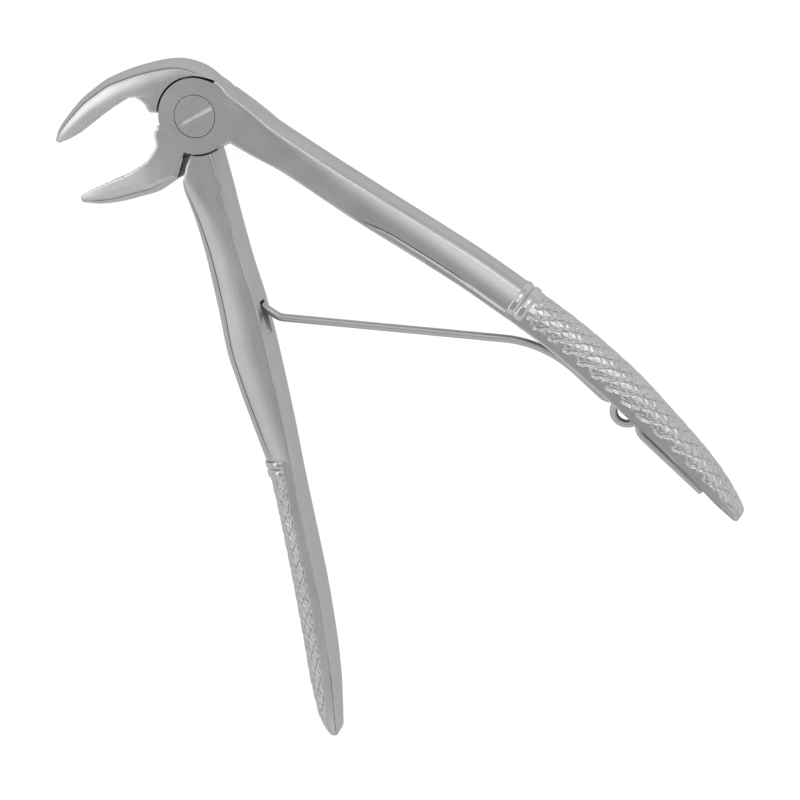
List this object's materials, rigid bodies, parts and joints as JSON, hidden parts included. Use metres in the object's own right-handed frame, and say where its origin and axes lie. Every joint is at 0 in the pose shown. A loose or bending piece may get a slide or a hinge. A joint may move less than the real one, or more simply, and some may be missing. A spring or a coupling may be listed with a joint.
{
  "type": "extraction forceps",
  "caption": "Lap-joint dental forceps with curved hawk-bill beaks at right angles to ringed, cross-knurled grips, held open by a wire return spring.",
  "frame": {"origin": "where the pivot axis meets the back face of the joint", "axes": "+Z along the pivot axis, out of the face with the slotted screw head; +X from the pivot along the bisector of the open handles; the beaks point to -Y"},
  "size_m": [0.1303, 0.095, 0.0084],
  "materials": {
    "forged_steel": "satin ground stainless steel, knurled grips",
    "screw_steel": "satin turned stainless steel",
    "spring_wire": "drawn stainless spring wire"
  },
  "bodies": {
    "front_half": {"front_half": "forged_steel"},
    "back_half": {"back_half": "forged_steel", "pivot_screw": "screw_steel"},
    "spring_leg": {"spring_leg": "spring_wire"},
    "spring_coil": {"spring_coil": "spring_wire"}
  },
  "joints": [
    {"name": "handle_pivot", "type": "hinge", "parent": "front_half", "child": "back_half", "pos_m": [0, 0, 0.0042], "axis": [0, 0, 1], "range_deg": [-2, 21], "stiffness_Nm_per_rad": 0.8},
    {"name": "spring_hook", "type": "hinge", "parent": "back_half", "child": "spring_leg", "pos_m": [0.03651, -0.01159, 0.0035], "axis": [0, 0, 1], "range_deg": [-37, 4]},
    {"name": "spring_bend", "type": "hinge", "parent": "spring_leg", "child": "spring_coil", "pos_m": [0.06923, 0.03211, 0.0035], "axis": [0, 0, 1], "range_deg": [-2, 16.5]}
  ],
  "couplings": [
    {"joint": "spring_hook", "follows": "handle_pivot", "ratio": -1.75},
    {"joint": "spring_bend", "follows": "handle_pivot", "ratio": 0.75}
  ]
}
